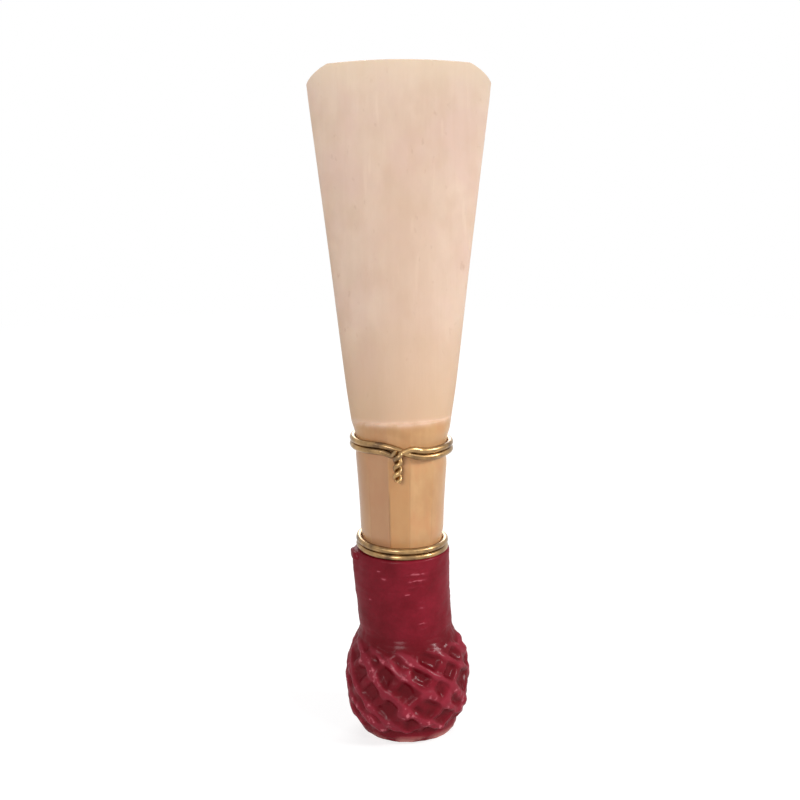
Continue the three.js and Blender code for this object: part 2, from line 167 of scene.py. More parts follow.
# The turban's ribs of thread, which cross over and under each other
LATTICE_CYCLES = 11
LATTICE_TURNS = 6
LATTICE_PHASE_DEGREES = 7
LATTICE_TWIST_DEGREES = 12
LATTICE_LOW_ALONG = 1.5 * MM
LATTICE_HIGH_BELOW_TOP = 1.85 * MM
TURN_ROUND_SHARE = 0.35
RIB_HEIGHT = 0.5 * MM
RIB_THREADS = 2
RIB_WANDER = 0.13 * MM
THREAD_SPACING = 0.38 * MM
THREAD_RADIUS = 0.26 * MM
THREAD_BASE = 0.16 * MM
THREAD_WANDER = 0.05 * MM
THREAD_LIFT = 0.04 * MM
OVER_RISE = 0.1 * MM
OVER_REACH = 0.45 * MM

# Ribs that lie beside their place, by number: how far to the right, seen from the front, at foot and top
RIB_SHIFTS = {
    2: (0, -0.55 * MM), 3: (0.35 * MM, 0.35 * MM), 9: (-0.65 * MM, -0.5 * MM), 17: (0.8 * MM, -0.3 * MM),
}

# Lacquer on the turban: it softens the ribs and fills hollows in places. The hollows it leaves open are
# darkened with painted shade.
LACQUER_BLUR = 0.1 * MM
LACQUER_POOL = 0.3 * MM
LACQUER_POOL_DROP = 0.03 * MM
LACQUER_POOL_WANDER = 0.15 * MM
LACQUER_LUMP = 0.016 * MM
HOLLOW_SHADE_FROM = 0.4 * MM
HOLLOW_SHADE_TO = 0.16 * MM
# Where the ribs' crests start and are full. The crests carry painted sheen and painted highlight dashes.
CREST_FROM = 0.36 * MM
CREST_TO = 0.5 * MM

# The plain turns at the turban's foot and on its shoulder, and the painted shade in a band over the shoulder
PLAIN_PITCH = 0.42 * MM
FOOT_FROM = 1.4 * MM
FOOT_TO = 0.6 * MM
FOOT_SINK = 0.12 * MM
FOOT_RIDGE = 0.03 * MM
FOOT_ROUND = 0.3 * MM
SHOULDER_FROM = 8 * MM
SHOULDER_TO = 9.3 * MM
SHOULDER_SINK = 0.08 * MM
SHOULDER_RIDGE = 0.014 * MM
SHOULDER_SHADE_SHARE = 0.75
SHOULDER_SHADE_FROM = 7.8 * MM
SHOULDER_SHADE_TO = 10.2 * MM

# The knot at the winding's end, and the covered end of thread below it
KNOT_DEGREES = 190
KNOT_SIZE = (2.1 * MM, 1.3 * MM, 0.8 * MM)
KNOT_HEIGHT = 16.42 * MM
KNOT_OUT = 3.85 * MM
KNOT_SQUARENESS = 0.62
KNOT_TURNS = 2
KNOT_GROOVE_SHARE = 0.06
KNOT_GROOVE_POWER = 4
KNOT_TAIL_LENGTH = 5 * MM
KNOT_TAIL_THICKNESS = 0.3 * MM
KNOT_TAIL_HALF_WIDTH = 0.9 * MM

# Smooth unevenness: a seed, how many waves it is made of, and about how long they are
RIB_WAVES = (100, 4, 6 * MM)
THREAD_WAVES = (0, 3, 3 * MM)
POOL_WAVES = (2560, 24, 3 * MM)
LUMP_WAVES = (7, 24, 1.5 * MM)
NECK_PATCH_WAVES = (3, 16, 3 * MM)
NECK_WANDER_WAVES = (4, 8, 6 * MM)
NECK_SWELL_WAVES = (5, 20, 2.2 * MM)
NECK_DASH_WAVES = (6, 16, 0.9 * MM)

# Mesh fineness. Extra columns stand at shares of a score's half width from each score and seam.
CANE_COLUMNS = 90
SCORE_COLUMN_SHARES = (-1, -0.5, 0, 0.5, 1)
SEAM_COLUMN_SHARES = (0.35, 0.7, 1.1)
TIP_ROWS = 26
TURBAN_COLUMNS = 640
TURBAN_ROWS = 190
OUTLINE_POINTS = 800
TURN_CURVE_POINTS = 400
NECK_COLUMNS = 400
NECK_ROWS = 150
KNOT_COLUMNS = 72
KNOT_ROWS = 48
WIRE_SIDES = 14
TURN_STEPS = 96
TWIST_STEPS = 40
LEAD_STEPS = 6
SHARP_DEGREES = 40
SKIN_SHARP_DEGREES = 60

# Patterns in the materials: about how many marks to a metre along X, Y and Z, their detail and roughness
CANE_PATTERNS = {
    "fibres": ((7000, 7000, 120), 5, 0.6),
    "streaks": ((1500, 1500, 60), 4, 0.55),
    "dashes": ((2100, 2100, 210), 1, 0.4),
    "clouds": ((330, 330, 210), 4, 0.6),
    "blush": ((290, 290, 240), 3, 0.5),
    "blots": ((620, 620, 330), 3, 0.5),
    "specks": ((2300, 2300, 1200), 2, 0.4),
    "breaks": ((1100, 1100, 500), 3, 0.6),
}
BRASS_PATTERNS = {
    "tarnish": ((700, 700, 700), 4, 0.6),
    "grain": ((5000, 5000, 5000), 2, 0.5),
}
THREAD_PATTERNS = {
    "patches": ((420, 420, 420), 4, 0.55),
    "fine": ((4200, 4200, 4200), 3, 0.5),
    "dashes": ((1700, 1700, 1700), 2, 0.5),
    "lumps": ((1300, 1300, 1300), 2, 0.4),
}

# Coats of colour: a pattern, its values where the coat starts and is full, the coat's share, its colour
SCRAPED_COLOUR = (231, 201, 178)
SCRAPED_COATS = [
    ("clouds", 0.36, 0.64, 1, (239, 210, 188)),
    ("blush", 0.42, 0.62, 0.5, (232, 196, 181)),
    ("blots", 0.5, 0.7, 0.3, (219, 184, 155)),
    ("streaks", 0.46, 0.72, 0.22, (225, 189, 162)),
    ("dashes", 0.7, 0.78, 0.3, (245, 218, 196)),
    ("fibres", 0.55, 0.8, 0.1, (208, 168, 136)),
    ("specks", 0.68, 0.8, 0.36, (202, 162, 134)),
]
BARK_COLOUR = (199, 149, 101)
BARK_COATS = [
    ("clouds", 0.38, 0.62, 1, (212, 166, 117)),
    ("streaks", 0.45, 0.7, 0.22, (188, 134, 90)),
    ("blots", 0.5, 0.66, 0.4, (208, 144, 96)),
    # The strip coats are the strips' own tones together with painted shade, darker and pinker on the left.
    ("strip_tone_and_shade", 0, 1, 0.8, (186, 136, 103)),
    ("strip_tone_and_shade", 0, -1, 0.8, (200, 143, 88)),
    # Painted shade in the score grooves and the seam's hollow, darker where they are cut deeper.
    ("score_shade", 0, 1, 0.4, (110, 70, 42)),
]
BRASS_COLOUR = (176, 139, 88)
BRASS_COATS = [("tarnish", 0.38, 0.68, 1, (98, 72, 44))]
THREAD_COLOUR = (110, 12, 26)
THREAD_COATS = [
    ("patches", 0.36, 0.66, 1, (132, 24, 40)),
    ("fine", 0.4, 0.7, 0.2, (92, 8, 20)),
    # Painted shade in the open hollows and over the shoulder.
    ("hollow_shade", 0, 1, 0.62, (86, 3, 10)),
    # Painted sheen on the ribs' crests.
    ("crest_highlight", 0, 0.6, 0.5, (156, 50, 66)),
]

# Colour changes on the blades: golden just over the collar, cream at the tip, and painted shade down the
# middle of the blades, over the thick spine
COLLAR_GLOW = 10 * MM
COLLAR_GLOW_SHARE = 0.9
COLLAR_GLOW_COLOUR = (219, 181, 144)
TIP_GLOW = 3 * MM
TIP_GLOW_SHARE = 0.6
TIP_GLOW_COLOUR = (245, 221, 192)
SPINE_HALF_WIDTH = 4 * MM
SPINE_END_BELOW_TIP = (3 * MM, 12 * MM)
SPINE_SHADE_SHARE = 0.38
SPINE_SHADE_COLOUR = (214, 176, 146)

# The raw edge at the collar: its spread, its breaks as pattern values and the shares left, and its colour
RAW_EDGE_SPREAD = 1.2 * COLLAR_RAMP
RAW_EDGE_BREAKS = (0.38, 0.62, 0.4, 0.8)
RAW_EDGE_COLOUR = (238, 203, 179)

# Painted highlights: pale dashes along the ribs' crests and on the neck's crests. Pale patches at the
# turban's foot.
CREST_HIGHLIGHT = (0.4, 0.9, 0, 0.75)
HIGHLIGHT_DASHES = (0.56, 0.68)
CREST_HIGHLIGHT_COLOUR = (214, 116, 128)
PALE_FOOT = 0.95 * MM
PALE_FOOT_START_SHARE = 0.1
PALE_FOOT_SHARE = 0.85
PALE_FOOT_PATCHES = (0.4, 0.56)
PALE_FOOT_COLOUR = (222, 154, 144)

# Finish of each material. The cane's pairs are for scraped cane and for bark.
CANE_ROUGHNESS = (0.62, 0.36)
CANE_BUMP_STRENGTH = (0.14, 0.08)
CANE_BUMP_DEPTH = 0.05 * MM
CANE_FINISH = {"Subsurface Weight": 0.12, "Subsurface Radius": (0.9, 0.5, 0.3), "Subsurface Scale": 0.6 * MM}
BRASS_ROUGHNESS = (0.3, 0.7, 0.26, 0.4)
BRASS_BUMP_STRENGTH = 0.06
BRASS_BUMP_DEPTH = 0.02 * MM
BRASS_FINISH = {"Metallic": 1, "Coat Weight": 0.22, "Coat Roughness": 0.2, "Coat IOR": 2}
THREAD_BUMP_STRENGTH = 0.25
THREAD_BUMP_DEPTH = 0.06 * MM
THREAD_FINISH = {
    "Roughness": 0.5, "Specular IOR Level": 0.06, "Specular Tint": (1, 0.42, 0.48, 1),
    "Coat Weight": 0.035, "Coat Roughness": 0.25, "Coat IOR": 3,
}
FLOOR_FINISH = {"Roughness": 1, "Specular IOR Level": 0}

# The floor and the world, and how far out the floor turns plain white. A seen strength of 1 is white.
FLOOR_HALF = 3
FLOOR_FADE_FROM = 0.05
FLOOR_FADE_TO = 0.2
FLOOR_COLOUR = (0.4, 0.4, 0.4, 1)
FLOOR_STRENGTH = 0.15
FLOOR_SEEN_STRENGTH = 0.74
WORLD_STRENGTH = 0.23
WHITE_STRENGTH = 1
WHITE = (1, 1, 1, 1)
BLACK = (0, 0, 0, 1)

# Lamps: name, place, diameter and power in watts
LAMPS = [
    ("key", (0.5, -0.13, 0.3), 0.13, 2.12),
    ("front", (-0.15, -0.5, 0.2), 0.2, 1.24),
    ("back", (0, 0.5, 0.3), 0.4, 1.9),
    ("gloss_right", (0.35, -0.42, 0.35), 0.09, 0.32),
    ("gloss_left", (-0.4, -0.32, 0.25), 0.09, 0.2),
]

# The photo's camera, as fitted to its outline. The sensor's width is in Blender's own millimetres.
FRAME_PIXELS = 800
FOCAL_PIXELS = 1537.2
CENTRE_PIXELS = (401.2, 407.49)
SENSOR_WIDTH = 36
CAMERA_DISTANCE = 126.1 * MM
CAMERA_HEIGHT = 61.71 * MM
CAMERA_PITCH_DEGREES = 14.45
CAMERA_ROLL_DEGREES = -0.44
CAMERA_CLIP = (0.005, 10)

REED_LENGTH = TUBE_LENGTH + BLADE_LENGTH
FIRST_WIRE_HEIGHT = TUBE_LENGTH - COLLAR_TO_FIRST_WIRE
SECOND_WIRE_HEIGHT = FIRST_WIRE_HEIGHT - FIRST_TO_SECOND_WIRE
TIP_SHOULDER = REED_LENGTH - TIP_CORNER_HEIGHT
TIP_ROWS_START = TIP_SHOULDER - TIP_ROWS_HEIGHT
WIRE_SEAT_HALF = WIRE_DIAMETER

# Stretches of the cane from the butt up: the height where each one ends, and how many rows it has
CANE_STRETCHES = [
    (BUTT_CHAMFER, 5), (3.4 * MM, 4), (6 * MM, 18), (16.2 * MM, 8), (18.5 * MM, 26),
    (25 * MM, 20), (27.4 * MM, 28), (28.6 * MM, 34), (TIP_ROWS_START, 46),
]


def lerp(a, b, share):
    return a + (b - a) * share


def smooth(share):
    share = np.clip(share, 0, 1)
    return share * share * (3 - 2 * share)


def between(value, start, end):
    """How far a value has come from start to end, as a share from 0 to 1."""
    return np.clip((value - start) / (end - start), 0, 1)


def rounding(share):
    """How much a quarter circle cuts off an edge, as a share of its radius, at a share of the way in."""
    return 1 - np.sqrt(1 - np.clip(1 - share, 0, 1) ** 2)


def way_round(angle, middle):
    """The way round from middle to angle, between minus and plus half a turn."""
    return np.mod(angle - middle + math.pi, 2 * math.pi) - math.pi


def smooth_curve(stations):
    """A curve through (place, value) stations that never overshoots them, and is straight past its ends."""
    places, values = (np.array(column, float) for column in zip(*stations))
    slopes = np.diff(values) / np.diff(places)
    product = slopes[:-1] * slopes[1:]
    same_way = product > 0
    inner = np.where(same_way, 2 * product / np.where(same_way, slopes[:-1] + slopes[1:], 1), 0)
    tangents = np.concatenate([slopes[:1], inner, slopes[-1:]])

    def value_at(place):
        place = np.asarray(place, float)
        k = np.clip(np.searchsorted(places, place, side="right") - 1, 0, len(slopes) - 1)
        span = places[k + 1] - places[k]
        t = np.clip((place - places[k]) / span, 0, 1)
        bend = tangents[k] * t * (1 - t) ** 2 - tangents[k + 1] * t * t * (1 - t)
        beyond = place - np.clip(place, places[0], places[-1])
        end_slope = np.where(beyond < 0, tangents[0], tangents[-1])
        return lerp(values[k], values[k + 1], smooth(t)) + span * bend + beyond * end_slope

    return value_at


half_width_at = smooth_curve([
    (0, BUTT_DIAMETER / 2),
    (SECOND_WIRE_HEIGHT, SECOND_WIRE_SIZE[0] / 2),
    (FIRST_WIRE_HEIGHT, FIRST_WIRE_SIZE[0] / 2),
    (TUBE_LENGTH, COLLAR_SIZE[0] / 2),
    (TUBE_LENGTH + BLADE_LENGTH / 2, MID_BLADE_WIDTH / 2),
    (TIP_SHOULDER, TIP_WIDTH / 2),
])
bark_depth_at = smooth_curve([
    (0, BUTT_DIAMETER / 2),
    (SECOND_WIRE_HEIGHT, SECOND_WIRE_SIZE[1] / 2),
    (FIRST_WIRE_HEIGHT, FIRST_WIRE_SIZE[1] / 2),
    (TUBE_LENGTH, COLLAR_SIZE[1] / 2),
])


def waves(kind, *places, number=0):
    """Smooth noise of about unit size: sines in seeded directions. Number picks another one of its kind."""
    seed, count, length = kind
    chance = np.random.default_rng(seed + number)
    total = 0
    for _ in range(count):
        rates = chance.normal(size=len(places)) * 2 * math.pi / length
        phase = chance.uniform(0, 2 * math.pi)
        total = total + np.sin(sum(rate * place for rate, place in zip(rates, places)) + phase)
    return total / math.sqrt(count / 2)


# Meshes


def new_piece(name, points, faces, material, sharp_degrees=SHARP_DEGREES):
    """An object from points and faces that rides on the reed's body, with its faces turned outwards."""
    mesh = bpy.data.meshes.new(name)
    mesh.from_pydata(np.asarray(points).tolist(), [], faces)
    shaper = bmesh.new()
    shaper.from_mesh(mesh)
    bmesh.ops.recalc_face_normals(shaper, faces=shaper.faces)
    shaper.to_mesh(mesh)
    shaper.free()
    mesh.shade_smooth()
    mesh.set_sharp_from_angle(angle=math.radians(sharp_degrees))
    mesh.materials.append(material)
    piece = bpy.data.objects.new(name, mesh)
    bpy.context.scene.collection.objects.link(piece)
    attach(piece, "root")
    return piece


def add_attribute(piece, name, values):
    attribute = piece.data.attributes.new(name, "FLOAT", "POINT")
    attribute.data.foreach_set("value", np.ascontiguousarray(values, dtype=np.float32).ravel())


def loop_faces(rows, size):
    """Quads between rows of closed loops that each have size points."""
    faces = []
    for row in range(rows - 1):
        for k in range(size):
            after = (k + 1) % size
            faces.append((row * size + k, row * size + after, (row + 1) * size + after, (row + 1) * size + k))
    return faces


# Cane


def blade_share_at(height):
    return np.clip((height - TUBE_LENGTH) / BLADE_LENGTH, 0, 1)


def opening_at(height):
    """Half of the space between the two halves of cane."""
    rest = (1 - blade_share_at(height)) ** OPENING_POWER
    blade = lerp(TIP_OPENING / 2, COLLAR_SIZE[1] / 2 - CANE_WALL, rest)
    return np.where(height <= TUBE_LENGTH, bark_depth_at(height) - CANE_WALL, blade)


def tip_height_at(x):
    """The end of the blades from the front: a slight arch between two rounded corners."""
    arm = TIP_WIDTH / 2 - TIP_CORNER_WIDTH
    inside = np.minimum(np.abs(x) / arm, 1)
    beyond = np.clip((np.abs(x) - arm) / TIP_CORNER_WIDTH, 0, 1)
    drop = lerp(beyond, 1 - np.sqrt(1 - beyond ** 2), CORNER_ROUND_SHARE)
    return REED_LENGTH - TIP_ARCH * inside ** 2 - (TIP_CORNER_HEIGHT - TIP_ARCH) * drop


def first_wire_rise(x, y):
    """How far the first wire stands over its height at a place round the reed. It is lower on the right."""
    away = np.degrees(np.arctan2(x, -y)) / FIRST_WIRE_SWING_DEGREES
    return (FIRST_WIRE_LIFT - FIRST_WIRE_SWING * away) * np.exp(-away ** 2) + FIRST_WIRE_TILT_SHARE * x


def seat_depth_at(height, rise):
    """How deep the wires have pressed the bark in. Rise is how far the first one stands over its height."""
    depth = np.zeros_like(height)
    for wire_height in (FIRST_WIRE_HEIGHT + rise, SECOND_WIRE_HEIGHT, BUTT_TO_THIRD_WIRE):
        away = (np.abs(height - wire_height) - WIRE_SEAT_HALF) / SEAT_RAMP
        depth = np.maximum(depth, WIRE_SUNK * (1 - smooth(away)))
    return depth


def cane_heights():
    """Rows from the butt to the foot of the tip: close together where the shape changes fast."""
    rows = []
    start = 0
    for end, count in CANE_STRETCHES:
        rows.append(np.linspace(start, end, count, endpoint=False))
        start = end
    return np.concatenate(rows)


def cane_rows():
    """For each row: its height, the height whose width it has, and its share of the way up the tip."""
    below = cane_heights()
    tip_share = np.linspace(0, 1, TIP_ROWS)
    heights = np.concatenate([below, lerp(TIP_ROWS_START, REED_LENGTH, tip_share)])
    edges = np.concatenate([below, lerp(TIP_ROWS_START, TIP_SHOULDER, tip_share)])
    tips = np.concatenate([np.zeros(len(below)), tip_share])
    return heights, edges[:, None], tips[:, None]


def score_angles():
    """The scores' places from right to left, as angles from +X through the front."""
    return sorted(math.radians(90 - degrees) for degrees, _, _ in SCORES)


def cane_angles():
    """Columns from the +X seam at 0 to the -X seam at a half turn, with more at each score and seam."""
    spread = SCORE_HALF_WIDTH / (BUTT_DIAMETER / 2)
    plain = np.linspace(0, math.pi, CANE_COLUMNS + 1)
    extra = [edge + spread * share for edge in score_angles() for share in SCORE_COLUMN_SHARES]
    for share in SEAM_COLUMN_SHARES:
        extra += [spread * share, math.pi - spread * share]
    kept = [a for a in plain if min(abs(a - b) for b in extra) > spread / 2 or a in (0, math.pi)]
    return np.sort(np.array(kept + extra))


def facet_factor(angle, height):
    """Scores let the bark fold into flats. This shrinks a round section towards their chords."""
    edges = score_angles()
    factor = np.ones_like(angle)
    for low, high in zip(edges[:-1], edges[1:]):
        chord = math.cos((high - low) / 2) / np.cos(angle - (low + high) / 2)
        factor = np.where((angle > low) & (angle < high), chord, factor)
    return lerp(1, factor, smooth((TUBE_LENGTH - height) / FACET_FADE))


def strip_tone_and_shade_at(angle, height):
    """Each strip of bark between two scores gets a tone, weaker over the first wire: partly its own tone and
    partly painted shade, darkest on the left.
    """
    tone_and_shade = STRIP_TONES_AND_SHADE[0] + np.zeros_like(angle)
    for edge, before, after in zip(score_angles(), STRIP_TONES_AND_SHADE[:-1], STRIP_TONES_AND_SHADE[1:]):
        tone_and_shade = tone_and_shade + (after - before) * smooth((angle - edge) / STRIP_EDGE_RADIANS + 0.5)
    return tone_and_shade * (1 - STRIP_FADE_SHARE * smooth((height - FIRST_WIRE_HEIGHT) / STRIP_FADE_HEIGHT))


def score_cut(angle, height):
    """How deep the scores are, and the hollow where the two halves of the cane meet."""
    from_seam = np.minimum(angle, math.pi - angle) * BUTT_DIAMETER / 2
    cut = SEAM_DEPTH * np.exp(-(from_seam / SEAM_HALF_WIDTH) ** 2)
    for degrees, top, depth in SCORES:
        across = np.abs(angle - math.radians(90 - degrees)) * BUTT_DIAMETER / 2
        share = smooth((top - height) / SCORE_FADE)
        cut = np.maximum(cut, depth * share * np.clip(1 - across / SCORE_HALF_WIDTH, 0, 1))
    return cut


def inner_halves(height, edge):
    """Half of the inner skin's width and depth."""
    wall = lerp(CANE_WALL, TIP_LAND, blade_share_at(height))
    return half_width_at(edge) - wall, opening_at(height)


def outer_halves(height, edge, angle, side):
    """Half of the outer skin's width and depth, with the wires' seats. Side is -1 for the turned half."""
    half_width = half_width_at(edge)
    rise = first_wire_rise(side * half_width * np.cos(angle), -side * half_width * np.sin(angle))
    seat = seat_depth_at(height, rise)
    bark = bark_depth_at(np.minimum(height, TUBE_LENGTH + COLLAR_RAMP)) - seat
    blade = opening_at(height) + lerp(CANE_WALL - COLLAR_STEP, TIP_WALL, blade_share_at(height))
    on_blade = smooth((height - TUBE_LENGTH) / COLLAR_RAMP)
    chamfer = BUTT_CHAMFER * rounding(height / BUTT_CHAMFER)
    return half_width - seat - chamfer, lerp(bark, blade, on_blade) - chamfer


def cane_skin(inner, turned):
    """One skin of the front half: its points in rows and columns, and at each the height, the strip's tone
    with its painted shade, and the groove depth that sets the painted shade in the scores.
    """
    heights, edge, tip = cane_rows()
    height, angle = np.meshgrid(heights, cane_angles(), indexing="ij")
    if inner:
        half_width, half_depth = inner_halves(height, edge)
        cut, factor = 0, 1
    else:
        half_width, half_depth = outer_halves(height, edge, angle, -1 if turned else 1)
        cut, factor = score_cut(angle, height), facet_factor(angle, height)
    bulge = np.where((angle == 0) | (angle == math.pi), 0, np.sin(angle))
    power = lerp(1, TIP_SECTION_POWER, blade_share_at(height))
    x = half_width * np.cos(angle) * factor - cut * np.cos(angle)
    y = -(half_depth * factor - cut) * np.maximum(bulge, 0) ** power
    arch_fade = np.clip(1 - np.abs(height - TUBE_LENGTH) / COLLAR_ARCH_FADE, 0, 1)
    z = height + (COLLAR_RISE + COLLAR_ARCH * bulge ** 2 + COLLAR_TILT_SHARE * x) * arch_fade
    z = np.where(tip > 0, lerp(TIP_ROWS_START, tip_height_at(x), tip), z)
    # The painted shade in the grooves follows their depth.
    score_shade = cut / SCORE_SHADE_FULL_DEPTH + np.zeros_like(height)
    return np.stack([x, y, z], axis=-1), height, strip_tone_and_shade_at(angle, height), score_shade


def make_cane(name, material, turned):
    """One half of the cane. The back half is the front one turned half round the reed's axis."""
    outer, height, tone_and_shade, score_shade = cane_skin(False, turned)
    inner, _, _, plain = cane_skin(True, turned)
    rows, columns = height.shape
    loops = np.concatenate([inner, outer[:, ::-1]], axis=1)
    if turned:
        loops = loops * np.array([-1, -1, 1])
    size = 2 * columns
    faces = loop_faces(rows, size)
    top = (rows - 1) * size
    for k in range(columns - 1):
        cap = (k, k + 1, size - 2 - k, size - 1 - k)
        faces.append(cap)
        faces.append(tuple(top + n for n in reversed(cap)))
    piece = new_piece(name, loops.reshape(-1, 3), faces, material)
    outside = np.arange(size) >= columns
    on_loop = np.concatenate([height, height], axis=1)
    bark = (1 - smooth((on_loop - TUBE_LENGTH) / COLLAR_RAMP)) * smooth(on_loop / BUTT_CHAMFER - 1)
    ridge = np.exp(-((on_loop - TUBE_LENGTH - COLLAR_RAMP / 2) / RAW_EDGE_SPREAD) ** 2)
    add_attribute(piece, "bark", np.where(outside, bark, 0))
    add_attribute(piece, "strip_tone_and_shade", np.concatenate([tone_and_shade, tone_and_shade[:, ::-1]], axis=1))
    add_attribute(piece, "score_shade", np.concatenate([plain, score_shade[:, ::-1]], axis=1))
    add_attribute(piece, "ridge", np.where(outside, ridge, 0))
    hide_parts(name)


# Wires


def sweep(points, radii):
    """Rings of a round tube along points, and its faces, turned as little as possible from ring to ring."""
    points = [Vector(point) for point in points]
    side = Vector((points[0].x, points[0].y, 0)).normalized()
    rings = []
    for k, point in enumerate(points):
        along = (points[min(k + 1, len(points) - 1)] - points[max(k - 1, 0)]).normalized()
        side = (side - along * side.dot(along)).normalized()
        across = along.cross(side)
        for n in range(WIRE_SIDES):
            angle = 2 * math.pi * n / WIRE_SIDES
            rings.append(point + radii[k] * (side * math.cos(angle) + across * math.sin(angle)))
    last = (len(points) - 1) * WIRE_SIDES
    caps = [tuple(range(WIRE_SIDES)), tuple(range(last + WIRE_SIDES - 1, last - 1, -1))]
    return [tuple(p) for p in rings], loop_faces(len(points), WIRE_SIDES) + caps


def spline(points, steps):
    """A smooth path through points: a Catmull-Rom curve with steps to each stretch."""
    points = [Vector(point) for point in points]
    padded = [2 * points[0] - points[1], *points, 2 * points[-1] - points[-2]]
    path = []
    for a, b, c, d in zip(padded, padded[1:], padded[2:], padded[3:]):
        for k in range(steps):
            t = k / steps
            bend = (2 * a - 5 * b + 4 * c - d) + t * (3 * (b - c) + d - a)
            path.append(b + 0.5 * t * ((c - a) + t * bend))
    return path + [points[-1]]


def turn_point(wire_height, turn, lift=0):
    """A point on the turns, which start at the front at the top and go down round the reed to the right."""
    angle = 2 * math.pi * turn - math.pi / 2
    outside = WIRE_DIAMETER / 2 - WIRE_SUNK + lift
    x = (float(half_width_at(wire_height)) + outside) * math.cos(angle)
    y = (float(bark_depth_at(wire_height)) + outside) * math.sin(angle)
    return Vector((x, y, (1 - turn) * WIRE_DIAMETER))


def twist_point(wire_height, surface, share, sign):
    """A point on a strand of the twist, which starts outside the turns and settles in towards the bark."""
    phase = 2 * math.pi * share * TWIST_LENGTH / TWIST_LEAD
    around = WIRE_DIAMETER - WIRE_SUNK
    room = TWIST_STRAND_DIAMETER / 2 + TWIST_RADIUS
    start = float(bark_depth_at(wire_height)) + around
    outside = lerp(start, surface, float(smooth(share / TWIST_SETTLE_SHARE)))
    return Vector((
        sign * TWIST_RADIUS * math.cos(phase) + TWIST_PLACE + TWIST_LEAN * share,
        -(outside + room) - sign * TWIST_RADIUS * math.sin(phase),
        -TWIST_LENGTH * share,
    ))


def twisted_wire_path(wire_height, surface):
    """Up out of the twist, over the middle strand, twice round, and back into the twist. Also each radius."""
    first = [twist_point(wire_height, surface, k / TWIST_STEPS, 1) for k in range(TWIST_STEPS, -1, -1)]
    last = [twist_point(wire_height, surface, k / TWIST_STEPS, -1) for k in range(TWIST_STEPS + 1)]
    start, end = LEAD_TURN, 2 - LEAD_TURN
    rising = [*first[-2:], turn_point(wire_height, start / 2, LEAD_LIFT), turn_point(wire_height, start)]
    falling = [turn_point(wire_height, end), turn_point(wire_height, 2 - LEAD_TURN / 2, LEAD_LIFT), *last[:2]]
    rising.append(turn_point(wire_height, start + 1 / TURN_STEPS))
    falling.insert(0, turn_point(wire_height, end - 1 / TURN_STEPS))
    count = round((end - start) * TURN_STEPS)
    turns = [turn_point(wire_height, lerp(start, end, k / count)) for k in range(1, count)]
    into, out_of = spline(rising, LEAD_STEPS)[LEAD_STEPS:], spline(falling, LEAD_STEPS)
    path = first[:-1] + into[:-1] + turns + out_of[:-LEAD_STEPS] + last[1:]
    radii = []
    for k in range(len(path)):
        from_end = min(k, len(path) - 1 - k) - TWIST_STEPS
        share = float(smooth(from_end / (2 * LEAD_STEPS)))
        radii.append(lerp(TWIST_STRAND_DIAMETER, WIRE_DIAMETER, share) / 2)
    return path, radii


def place_first_wire(path):
    """The first wire has its twist at the front, down the tube, and isn't level round the reed."""
    rises = [float(first_wire_rise(point.x, point.y)) for point in path]
    return [point + Vector((0, 0, FIRST_WIRE_HEIGHT + rise)) for point, rise in zip(path, rises)]


def place_second_wire(path):
    """The second wire has its twist at the back, up the tube."""
    return [Vector((point.x, -point.y, SECOND_WIRE_HEIGHT - point.z)) for point in path]


def third_wire_path():
    """The third wire has no twist, and its ends lie round the tube."""
    shares = np.linspace(-THIRD_WIRE_TAIL_TURNS, 2 + THIRD_WIRE_TAIL_TURNS, 2 * TURN_STEPS)
    up = Vector((0, 0, BUTT_TO_THIRD_WIRE))
    return [turn_point(BUTT_TO_THIRD_WIRE, float(turn)) + up for turn in shares]


def make_wires(material):
    first_surface = float(bark_depth_at(FIRST_WIRE_HEIGHT - TWIST_LENGTH))
    second_surface = float(bark_depth_at(SECOND_WIRE_HEIGHT + TWIST_LENGTH))
    first, first_radii = twisted_wire_path(FIRST_WIRE_HEIGHT, first_surface)
    second, second_radii = twisted_wire_path(SECOND_WIRE_HEIGHT, second_surface)
    third = third_wire_path()
    wires = {
        "first_wire": (place_first_wire(first), first_radii),
        "second_wire": (place_second_wire(second), second_radii),
        "third_wire": (third, [WIRE_DIAMETER / 2] * len(third)),
    }
    for name, (path, radii) in wires.items():
        points, faces = sweep(path, radii)
        piece = new_piece(name, points, faces, material)
        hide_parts(name)


# Thread


def turban_radius_at(height):
    """Outer radius over the turban's ribs: a barrel that narrows to both ends."""
    below = height < TURBAN_BELLY
    end = np.where(below, TURBAN_BOTTOM, TURBAN_SHOULDER)
    end_thickness = np.where(below, *TURBAN_END_THICKNESS)
    share = np.abs((height - TURBAN_BELLY) / (end - TURBAN_BELLY)) ** TURBAN_ROUND_POWER
    barrel = BUTT_DIAMETER / 2 + lerp(TURBAN_THICKNESS, end_thickness, share)
    neck = NECK_RADIUS + TURBAN_OVER_NECK
    above = (barrel - neck) * TURBAN_FILLET_SHARPNESS / TURBAN_FILLET
    return neck + TURBAN_FILLET / TURBAN_FILLET_SHARPNESS * np.logaddexp(0, above)


def turban_outline():
    """Even steps along the turban's outline from its foot, and the height and radius at each."""
    heights = np.linspace(TURBAN_BOTTOM, TURBAN_TOP, OUTLINE_POINTS)
    radii = turban_radius_at(heights)
    travelled = np.concatenate([[0], np.cumsum(np.hypot(np.diff(heights), np.diff(radii)))])
    rows = np.linspace(0, travelled[-1], TURBAN_ROWS)
    return rows, np.interp(rows, travelled, heights), np.interp(rows, travelled, radii)


def lean_at(height):
    """How far the thread stands over to the right."""
    return TURBAN_LEAN * smooth(between(height, LEAN_TO, LEAN_FROM))


